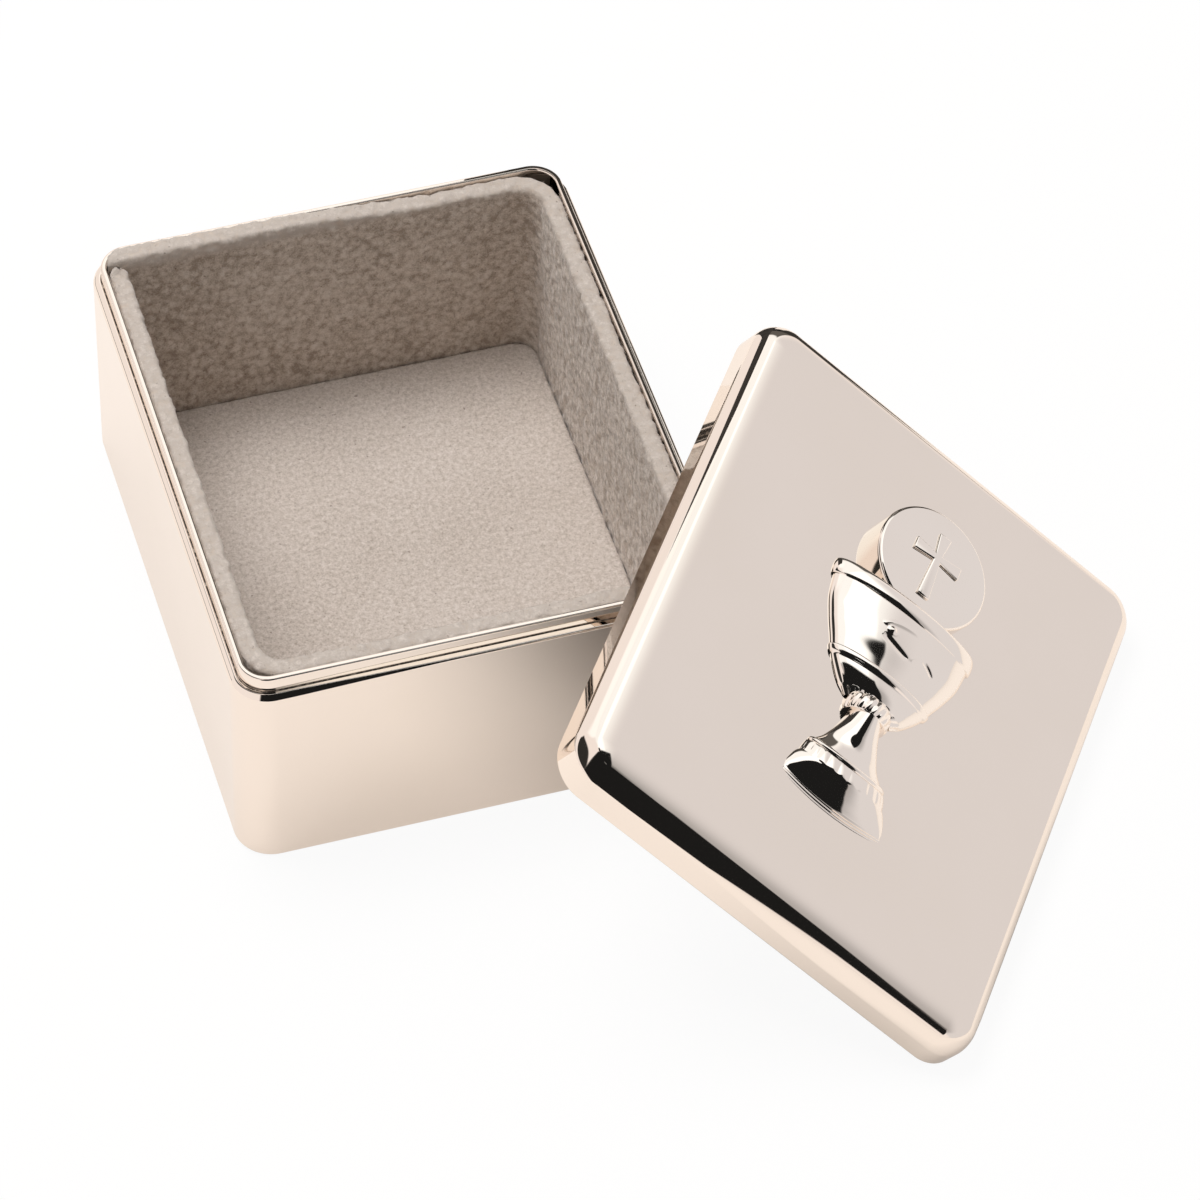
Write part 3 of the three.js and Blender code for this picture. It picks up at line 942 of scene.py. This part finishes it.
# Leaf and drape lines on the front of the bowl: start, bend, end, width and height, where a
# height below 0 is a groove. The bead's row is its x, y, size and height
BOWL_LINES = [
    ((-2.65, 4.8), (-1.9, 6.0), (1.55, 6.2), 0.2, 0.045),
    ((-2.1, 3.7), (-0.6, 3.3), (1.15, 2.9), 0.22, -0.14),
    ((1.65, 3.0), (2.2, 4.1), (3.3, 4.1), 0.18, 0.05),
    ((2.9, 4.05), (3.9, 3.9), (4.75, 3.15), 0.18, -0.13),
    ((5.15, 5.2), (5.3, 4.0), (5.25, 2.8), 0.16, -0.04),
]
BOWL_BEAD = (-1.45, 4.7, 0.36, 0.2)
BOWL_LINE_STEPS = 12
RELIEF_FROM = 0.7
RELIEF_FADE = 0.12
RELIEF_FOOT = BAND_TOP + 0.1


def pchip(stations, places):
    """Smooth values between stations, with no overshoot. Each station is (place, value, ...)."""
    table = np.array(stations, float)
    order = np.argsort(table[:, 0])
    x, rows = table[order, 0], table[order, 1:]
    gaps = np.diff(x)
    slopes = np.diff(rows, axis=0) / gaps[:, None]
    tangents = np.zeros_like(rows)
    for k in range(1, len(x) - 1):
        a, b = slopes[k - 1], slopes[k]
        w1, w2 = 2 * gaps[k] + gaps[k - 1], gaps[k] + 2 * gaps[k - 1]
        with np.errstate(divide="ignore", invalid="ignore"):
            mean = (w1 + w2) / (w1 / a + w2 / b)
        tangents[k] = np.where(a * b > 0, mean, 0)
    tangents[0], tangents[-1] = slopes[0], slopes[-1]
    cell = np.clip(np.searchsorted(x, places, side="right") - 1, 0, len(x) - 2)
    h = gaps[cell][:, None]
    t = (places - x[cell])[:, None] / h
    return (
        (2 * t**3 - 3 * t**2 + 1) * rows[cell]
        + (t**3 - 2 * t**2 + t) * h * tangents[cell]
        + (-2 * t**3 + 3 * t**2) * rows[cell + 1]
        + (t**3 - t**2) * h * tangents[cell + 1]
    )


def span(top, foot):
    """The middle of a stretch and half its length."""
    return (top + foot) / 2, (top - foot) / 2


def through(stations, count, before=0.0):
    """Sections on a smooth curve through stations, which starts a little before the first."""
    places = np.linspace(stations[0][0] - before, stations[-1][0], count)
    return [(place, *values) for place, values in zip(places, pchip(stations, places))]


def rolled(middle, half, size, angles, depth, power=1):
    """Sections of a rounded ring, which stands over its ends by up to depth. Angles are the first
    and the last in degrees, and how many."""
    width, height, bow = size
    rows = []
    for angle in np.radians(np.linspace(*angles)):
        lift = depth * (math.sin(angle) ** power - 1)
        rows.append((middle + half * math.cos(angle), width + lift, height + lift, bow))
    return rows


def chalice_stations():
    """Every cross section, from the rim to the foot: place, half width, height, bow."""
    rows = rolled(RIM_MIDDLE, RIM_ROLL, RIM, (12, 165, 26), depth=0.5, power=0.4)
    middle, half = span(BAND_TOP, BAND_FOOT)
    for place, width, height, bow in through(BOWL, 120, before=0.12):
        across = min(1.0, abs(place - middle) / half)
        band = BAND_RISE * (1 - across**4) ** 0.5
        rows.append((place, width + band, height + band, bow))
    rows += rolled(*span(KNOP_TOP, KNOP_FOOT), KNOP, (10, 170, 24), depth=0.55, power=0.6)
    rows += through(STEM, 70, before=0.05)
    rows += rolled(*span(RING_TOP, RING_FOOT), RING, (15, 165, 14), depth=0.3)
    for place in np.linspace(BEADS_TOP - BEADS_MARGIN, BEADS_FOOT + BEADS_MARGIN, 26):
        share = (BEADS_TOP - place) / (BEADS_TOP - BEADS_FOOT)
        rows.append((place, *(size + grow * share for size, grow in zip(BEADS, BEADS_GROWTH))))
    return np.array(rows + through(BEVEL, 40) + FOOT_LINES)


def stroke(x, y, bent, width, depth):
    """A ridge, or a groove where depth is below 0, along a bent line, thinning to its ends. Bent
    holds the line's start, the point that it bends towards, and its end."""
    t = np.linspace(0, 1, BOWL_LINE_STEPS + 1)[:, None]
    start, bend, end = (np.array(point, float) for point in bent)
    line = (1 - t) ** 2 * start + 2 * t * (1 - t) * bend + t**2 * end
    best = np.full(x.shape, 1e9)
    along = np.zeros(x.shape)
    lengths = np.r_[0, np.cumsum(np.linalg.norm(np.diff(line, axis=0), axis=1))]
    for k in range(len(line) - 1):
        step = line[k + 1] - line[k]
        size = step @ step
        dx, dy = x - line[k][0], y - line[k][1]
        t = np.clip((dx * step[0] + dy * step[1]) / size, 0, 1)
        away = np.hypot(dx - t * step[0], dy - t * step[1])
        nearer = away < best
        best = np.where(nearer, away, best)
        along = np.where(nearer, (lengths[k] + t * math.sqrt(size)) / lengths[-1], along)
    taper = np.sqrt(np.clip(4 * along * (1 - along), 0, 1))
    return depth * taper * np.exp(-((best / width) ** 2))


def bowl_relief(x, y):
    bead_x, bead_y, size, height = BOWL_BEAD
    relief = height * np.exp(-(((x - bead_x) ** 2 + (y - bead_y) ** 2) / size**2) ** 1.5)
    for *bent, width, depth in BOWL_LINES:
        relief += stroke(x, y, bent, width, depth)
    return relief


def make_chalice():
    rows = chalice_stations()
    turn = np.pi * (1 - np.arange(SECTION_STEPS + 1) / SECTION_STEPS)
    across, up = np.cos(turn), np.clip(np.sin(turn), 0, 1)
    place, width, height, bow = (rows[:, k][:, None] for k in range(4))
    x = width * across
    y = place - bow * (1 - across**2)
    z = height * up
    front = np.clip((up - RELIEF_FROM) / RELIEF_FADE, 0, 1)
    on_bowl = (place < BOWL[0][0]) & (place > RELIEF_FOOT)
    z = z + np.where(on_bowl, bowl_relief(x, y), 0) * front

    ribs = 0.5 + 0.5 * np.cos(KNOP_RIBS * 2 * turn + KNOP_TWIST * (place - KNOP_TOP))
    on_knop = (place < KNOP_TOP - KNOP_MARGIN) & (place > KNOP_FOOT + KNOP_MARGIN)
    inward = np.where(on_knop, KNOP_RIB_DEPTH * (1 - ribs), 0)
    middle, half = span(BEADS_TOP, BEADS_FOOT)
    lengthwise = np.clip(1 - ((place - middle) / half) ** 2, 0, 1)
    beads = BEAD_RISE * np.sqrt(lengthwise) * np.abs(np.sin(BEAD_COUNT * turn))
    swell = beads - inward
    x = x + swell * across
    z = np.maximum(z + swell * up, 0) - EMBLEM_SINK

    x = x + EMBLEM_X + EMBLEM_LEAN * (EMBLEM_MIDDLE - y)
    vertices = np.stack([x, y, LID_HEIGHT + z], axis=-1).reshape(-1, 3)
    count, levels = SECTION_STEPS + 1, len(rows)
    faces = quads(count, levels, ((0, 1), (0, 0), (1, 0), (1, 1)))
    faces += [cap(count, 0), cap(count, (levels - 1) * count, back=True)]
    piece = add_mesh("chalice_cast", vertices, faces)
    piece.data.set_sharp_from_angle(angle=EMBLEM_SHARP)
    lay_on_lid(piece, cast_silver, "plated_casting", "chalice")


def turned(name, profile, centre, steps):
    """A profile of (radius, height) points turned about an upright axis. It starts and ends on
    the axis."""
    rings = profile[1:-1]
    vertices = [(*centre, profile[0][1])]
    for radius, height in rings:
        vertices += [(*place, height) for place in arc(centre, radius, 0, 360, steps)[:-1]]
    vertices.append((*centre, profile[-1][1]))
    faces = []
    last = len(vertices) - 1
    for j in range(steps):
        n = (j + 1) % steps
        faces.append((0, 1 + n, 1 + j))
        for k in range(len(rings) - 1):
            a, b = 1 + k * steps, 1 + (k + 1) * steps
            faces.append((a + j, a + n, b + n, b + j))
        top = 1 + (len(rings) - 1) * steps
        faces.append((top + j, top + n, last))
    return add_mesh(name, vertices, faces)


def make_host():
    top = LID_HEIGHT + HOST_TOP
    low = LID_HEIGHT - EMBLEM_SINK
    face = HOST_RADIUS - HOST_EDGE
    profile = [(0, low), (HOST_RADIUS, low)]
    profile += arc((face, top - HOST_EDGE), HOST_EDGE, 0, 90, 8)
    profile += [(face - HOST_GROOVE, top - HOST_GROOVE_DEPTH)]
    profile += [(HOST_RADIUS - HOST_GROOVE_END, top), (0, top)]
    piece = turned("host_cast", profile, (HOST_X, HOST_Y), HOST_STEPS)
    piece.data.set_sharp_from_angle(angle=EMBLEM_SHARP)
    lay_on_lid(piece, cast_silver, "plated_casting", "host")


def make_cross():
    """A plain cross with spreading ends, standing up from the host."""
    top = LID_HEIGHT + HOST_TOP
    right = [
        (CROSS_END, CROSS_HEIGHT / 2),
        (CROSS_BAR, CROSS_BEAM_RISE + CROSS_BAR),
        (CROSS_WIDTH / 2, CROSS_BEAM_RISE + CROSS_END),
        (CROSS_WIDTH / 2, CROSS_BEAM_RISE - CROSS_END),
        (CROSS_BAR, CROSS_BEAM_RISE - CROSS_BAR),
        (CROSS_END, -CROSS_HEIGHT / 2),
    ]
    corners = right + [(-x, y) for x, y in reversed(right)]
    vertices = [
        (HOST_X + x, HOST_Y + y, height)
        for height in (top - CROSS_SINK, top + CROSS_RELIEF)
        for x, y in reversed(corners)
    ]
    count = len(corners)
    faces = [cap(count, 0, back=True), cap(count, count)] + quads(count, 2)
    piece = add_mesh("host_cross", vertices, faces)
    bevel = piece.modifiers.new("round", "BEVEL")
    bevel.width = CROSS_ROUND * MM
    bevel.segments = 4
    bevel.limit_method = "ANGLE"
    lay_on_lid(piece, cast_silver, "plated_casting")


# Stage
FLOOR_HALF = 2500
FLOOR_DROP = 0.02
FLOOR_PAPER = (0.93, 0.885, 0.85, 1)
FLOOR_WARM = (1.0, 0.919, 0.857, 1)
FLOOR_GLOW = 1.03
# Painted shade on the floor near the box, from ambient occlusion: the least share of the glow, and
# how far it reaches
FLOOR_CREVICE_SHADE = 0.7
FLOOR_REACH = 60
FLOOR_SHARE = 0.7
FLOOR_WHITE = 0.93
# Painted shadow of the lid on the floor, which the metal mirrors: its centre, the radii where it
# is darkest and where it ends, and its darkest share
LID_SHADOW_CENTRE = (30, -52, 0)
LID_SHADOW_RADII = (5, 38)
LID_SHADOW_LEAST = 0.05
FILL_TONE = (1.0, 0.985, 0.97, 1)
FILL_STRENGTH = 0.45
BACKGROUND = (1, 1, 1, 1)
LAMP_AZIMUTH = -38
LAMP_ELEVATION = 72
LAMP_DISTANCE = 800
LAMP_SIZE = (500, 400)
LAMP_POWER = 5.0

# Cards on the floor that the metal mirrors: width, height, x, y and turn in degrees
FLAGS = {"flag_back": (44, 150, 54, 84, -12), "flag_side": (30, 46, 92, 42, -46)}
FLAG_TONES = [(0.3, (0.03, 0.028, 0.026)), (0.7, (0.06, 0.055, 0.05))]

# Tones of what the metal mirrors
CREAM = (0.96, 0.885, 0.85)
WHITE = (1.07, 1.08, 1.07)
PINK = (0.77, 0.742, 0.746)
BOX_LIGHT = (1.3, 1.3, 1.3)
BRIGHT = (1.16, 1.14, 1.12)
DIM = (0.12, 0.11, 0.1)
BLACK = (0.012, 0.012, 0.012)
UMBER = (0.03, 0.029, 0.027)

# The studio that the metal mirrors, each part painted over the last: its tone, and the azimuths
# and the heights at which it begins and is full. Azimuth 0 is towards the back of the box and 90
# to its right
STUDIO = {
    "paper": (WHITE, [(0, 45), (120, 90)], [(15, 38)]),
    "overhead": (BRIGHT, [(-4, 8), (38, 26)], [(38, 45), (64, 55)]),
    "pink_wall": (PINK, [(62, 70), (165, 150)], [(38, 27)]),
    "shade": (BLACK, [(84, 100), (175, 150)], [(20, 33.5)]),
    "softbox": (BOX_LIGHT, [(62, 64), (89, 87.5)], [(36, 38), (66, 64)]),
    "front_room": (BLACK, [(88.5, 89.5), (218, 212)], [(83, 79)]),
    "window": (WHITE, [(155, 157), (167, 165)], [(44, 46), (54, 52)]),
    "corner": (DIM, [(17, 21), (62, 59)], [(35, 31)]),
    "strip": (BLACK, [(17, 21), (60, 56)], [(16, 10)]),
    "left_wall": (UMBER, [], [(46, 51)]),
    "horizon": (DIM, [(-22, -30)], [(7, 4)]),
}
SHADE_SHARE = 0.5
FRONT_HEIGHT = (31.9, 33.1)
AZIMUTH_LIMITS = (300.0, -60.0)

# Slanting edges: the way across them, and how far along it they begin and are full
FRONT_EDGE = ((-0.7, 0.16, 1.0), -0.015, 0.015)
LEFT_EDGE = ((-1.0, 0.2, 0.0), 0.225, 0.255)


def make_floor():
    """White paper. The camera sees it white with a faint shadow, and the metal mirrors it warm and
    nearly even, with painted shade near the box and a painted shadow below the lid."""
    ends = (-FLOOR_HALF, FLOOR_HALF)
    corners = [(x, y, 0) for y in ends for x in ends]
    floor = add_mesh("floor", corners, [(0, 1, 3, 2)], smooth=False)
    floor.location.z = -FLOOR_DROP * MM
    material, tree, where = new_material("floor_paper")
    paper = add(tree, "ShaderNodeBsdfDiffuse", {"Color": FLOOR_PAPER})
    inputs = {"Distance": FLOOR_REACH * MM}
    # Painted shade near the box, from ambient occlusion
    crevice_shade = add(tree, "ShaderNodeAmbientOcclusion", inputs, samples=8).outputs["AO"]
    under = {0: where, 1: Vector(LID_SHADOW_CENTRE) * MM}
    away = add(tree, "ShaderNodeVectorMath", under, operation="DISTANCE").outputs["Value"]
    near, far = (radius * MM for radius in LID_SHADOW_RADII)
    strength = spread(tree, crevice_shade, FLOOR_GLOW * FLOOR_CREVICE_SHADE, FLOOR_GLOW)
    # Painted shadow below the lid
    strength = both(tree, strength, rise(tree, away, near, far, LID_SHADOW_LEAST))
    seen, shiny = rays(tree)
    warm = glow(tree, FLOOR_WARM, strength)
    mirrored = mixed(tree, both(tree, shiny, FLOOR_SHARE), paper, warm)
    show(tree, mixed(tree, both(tree, seen, FLOOR_WHITE), mirrored, glow(tree, BACKGROUND)))
    dress(floor, material)


def surroundings(tree, direction):
    """The colour of the studio in a direction."""
    x, y, z = add(tree, "ShaderNodeSeparateXYZ", {0: direction}).outputs
    azimuth = calc(tree, "MULTIPLY", calc(tree, "ARCTAN2", x, y), math.degrees(1))
    azimuth = calc(tree, "WRAP", azimuth, *AZIMUTH_LIMITS)
    height = calc(tree, "MULTIPLY", calc(tree, "ARCSINE", z), math.degrees(1))

    def past(way, low, high):
        inputs = {0: direction, 1: way}
        along = add(tree, "ShaderNodeVectorMath", inputs, operation="DOT_PRODUCT")
        return rise(tree, along.outputs["Value"], low, high)

    above = calc(tree, "MAXIMUM", rise(tree, height, *FRONT_HEIGHT), past(*FRONT_EDGE))
    extra = {"shade": SHADE_SHARE, "front_room": above, "left_wall": past(*LEFT_EDGE)}
    colour = (*CREAM, 1.0)
    for part, (tone, azimuths, heights) in STUDIO.items():
        masks = [rise(tree, azimuth, *edge) for edge in azimuths]
        masks += [rise(tree, height, *edge) for edge in heights]
        if part in extra:
            masks.append(extra[part])
        colour = blended(tree, both(tree, *masks), colour, (*tone, 1.0))
    return colour


def make_world():
    world = bpy.data.worlds.new("studio")
    bpy.context.scene.world = world
    tree = nodes_of(world)
    direction = add(tree, "ShaderNodeTexCoord").outputs["Generated"]
    kind = "ShaderNodeBackground"
    mirrored = glow(tree, surroundings(tree, direction), kind=kind)
    fill = glow(tree, FILL_TONE, FILL_STRENGTH, kind)
    white = glow(tree, BACKGROUND, kind=kind)
    seen, shiny = rays(tree)
    lit = mixed(tree, shiny, fill, mirrored)
    show(tree, mixed(tree, seen, lit, white), "ShaderNodeOutputWorld")


def make_flag(name, width, height, x, y, turn):
    """A dark card near the box, which only the metal mirrors."""
    sides = (-width / 2, width / 2)
    corners = [(side, 0, level) for level in (0, height) for side in sides]
    flag = add_mesh(name, corners, [(0, 1, 3, 2)], smooth=False)
    flag.location = (x * MM, y * MM, 0)
    flag.rotation_euler.z = math.radians(turn)
    material, tree, where = new_material(name)
    show(tree, glow(tree, ramp(tree, noise_of(tree, where, 40.0), FLAG_TONES)))
    dress(flag, material)
    flag.visible_camera = False
    flag.visible_diffuse = False
    flag.visible_shadow = False
    flag.visible_transmission = False


def heading(azimuth, elevation):
    """The direction at an azimuth and an elevation in degrees."""
    a, e = math.radians(azimuth), math.radians(elevation)
    return Vector((math.sin(a) * math.cos(e), math.cos(a) * math.cos(e), math.sin(e)))


def make_lamp():
    """A large soft lamp at the back left, which no metal mirrors."""
    data = bpy.data.lights.new("key_light", "AREA")
    data.shape = "RECTANGLE"
    data.size, data.size_y = (length * MM for length in LAMP_SIZE)
    data.energy = LAMP_POWER
    lamp = bpy.data.objects.new("key_light", data)
    out = heading(LAMP_AZIMUTH, LAMP_ELEVATION)
    lamp.location = out * LAMP_DISTANCE * MM
    lamp.rotation_mode = "QUATERNION"
    lamp.rotation_quaternion = out.to_track_quat("Z", "Y")
    lamp.visible_glossy = False
    bpy.context.scene.collection.objects.link(lamp)


def make_camera():
    data = bpy.data.cameras.new("camera")
    data.sensor_width = 36
    data.lens = CAMERA_LENS
    data.clip_start = 0.01
    data.clip_end = 20
    camera = bpy.data.objects.new("camera", data)
    bpy.context.scene.collection.objects.link(camera)
    forward = heading(CAMERA_AZIMUTH, -CAMERA_ELEVATION)
    level = heading(CAMERA_AZIMUTH + 90, 0)
    upright = level.cross(forward)
    right = level * math.cos(CAMERA_ROLL) + upright * math.sin(CAMERA_ROLL)
    turn = Matrix((right, right.cross(forward), -forward)).transposed().to_4x4()
    place = (Vector(CAMERA_AIM) - forward * CAMERA_DISTANCE) * MM
    camera.matrix_world = Matrix.Translation(place) @ turn
    bpy.context.scene.camera = camera


make_shell()
make_neck()
make_seam()
make_wall_lining()
make_wall_fibres()
make_floor_pad()
make_lid_shell()
make_lid_pad()
make_chalice()
make_host()
make_cross()
for node_name in ("wall_card", "floor_card", "lid_card"):
    dress(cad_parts[node_name], grey_card)
dress(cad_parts["base_bottom"], dull_silver)
make_floor()
for flag_name, card_place in FLAGS.items():
    make_flag(flag_name, *card_place)
make_world()
make_lamp()
make_camera()
bpy.context.scene.view_settings.view_transform = "Standard"
